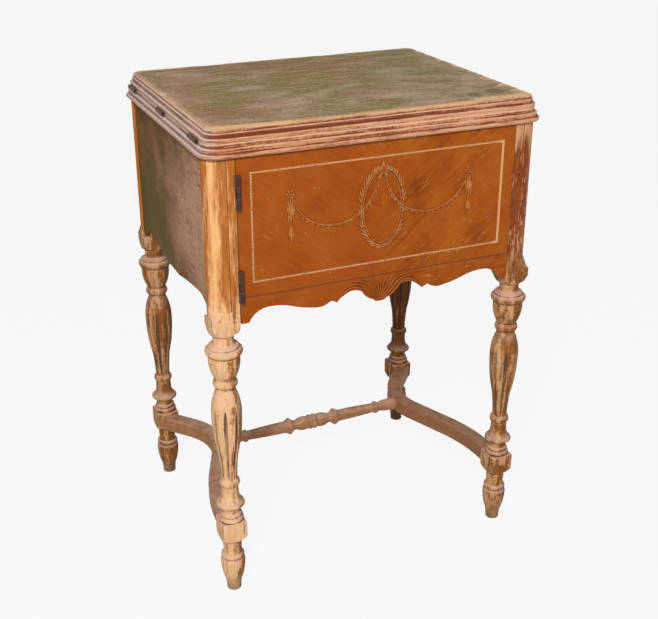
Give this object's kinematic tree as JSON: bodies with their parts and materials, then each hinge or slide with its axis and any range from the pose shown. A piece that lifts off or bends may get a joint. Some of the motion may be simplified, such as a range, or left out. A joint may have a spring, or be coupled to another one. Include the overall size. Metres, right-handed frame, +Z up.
{
  "type": "sewing cabinet",
  "caption": "Flip-top wooden sewing cabinet on turned fluted legs, with a stepped moulded top, veneered swing-out front with inlay and carving, and bowed stretchers.",
  "frame": {"origin": "on the floor under the middle of the cabinet", "axes": "+Z up, the front faces -Y, the hinges of lid and front are on the -X side"},
  "size_m": [0.554, 0.4432, 0.775],
  "materials": {
    "leg_wood": "mostly bare wood with remains of brown varnish",
    "panel_veneer": "crazed veneer, varnish mostly gone",
    "stretcher_wood": "dusty brown varnish",
    "moulding_wood": "worn stain, bare on the ridges",
    "top_veneer": "weathered veneer, dry and scratched",
    "door_wood": "worn varnish",
    "door_veneer": "worn varnish",
    "inlay": "light wood stringing",
    "carving": "pressed ornament, rubbed on the high places",
    "inner_wood": "unfinished",
    "hinge_steel": "dark oxide, rubbed at the ends",
    "hinge_iron": "black japan"
  },
  "bodies": {
    "cabinet": {"leg_front_left": "leg_wood", "leg_front_right": "leg_wood", "leg_back_left": "leg_wood", "leg_back_right": "leg_wood", "side_panel_left": "panel_veneer", "side_panel_right": "panel_veneer", "back_panel": "panel_veneer", "stretcher_left": "stretcher_wood", "stretcher_right": "stretcher_wood", "stretcher_cross": "stretcher_wood", "fixed_leaf": "moulding_wood", "machine_flap": "inner_wood", "flap_ledges": "inner_wood", "top_cleat_left": "inner_wood", "top_cleat_right": "inner_wood", "top_cleat_back": "inner_wood", "door_stop": "inner_wood", "door_hinge_stile_leaves": "hinge_steel", "lid_hinge_lower_leaves": "hinge_steel", "flap_hinges": "hinge_steel", "catch_clip": "hinge_steel", "machine_hinge_brackets": "hinge_iron"},
    "lid": {"lid_board": "moulding_wood", "lid_veneer": "top_veneer", "lid_hinge_upper_leaves": "hinge_steel"},
    "door": {"door_core": "door_wood", "door_apron": "door_wood", "door_veneer_left": "door_veneer", "door_veneer_right": "door_veneer", "inlay_border": "inlay", "festoon": "carving", "catch_stud": "hinge_steel", "door_hinge_door_leaves": "hinge_steel"},
    "tongue_left": {"machine_tongue_left": "hinge_iron"},
    "tongue_right": {"machine_tongue_right": "hinge_iron"}
  },
  "joints": [
    {"name": "lid_hinge", "type": "hinge", "parent": "cabinet", "child": "lid", "pos_m": [-0.2701, 0, 0.755], "axis": [0, -1, 0], "range_deg": [0, 180]},
    {"name": "door_hinge", "type": "hinge", "parent": "cabinet", "child": "door", "pos_m": [-0.224, -0.21705, 0.6145], "axis": [0, 0, -1], "range_deg": [0, 170]},
    {"name": "tongue_left_hinge", "type": "hinge", "parent": "cabinet", "child": "tongue_left", "pos_m": [-0.132, 0.143, 0.7451], "axis": [-1, 0, 0], "range_deg": [0, 90]},
    {"name": "tongue_right_hinge", "type": "hinge", "parent": "cabinet", "child": "tongue_right", "pos_m": [0.132, 0.143, 0.7451], "axis": [-1, 0, 0], "range_deg": [0, 90]}
  ]
}
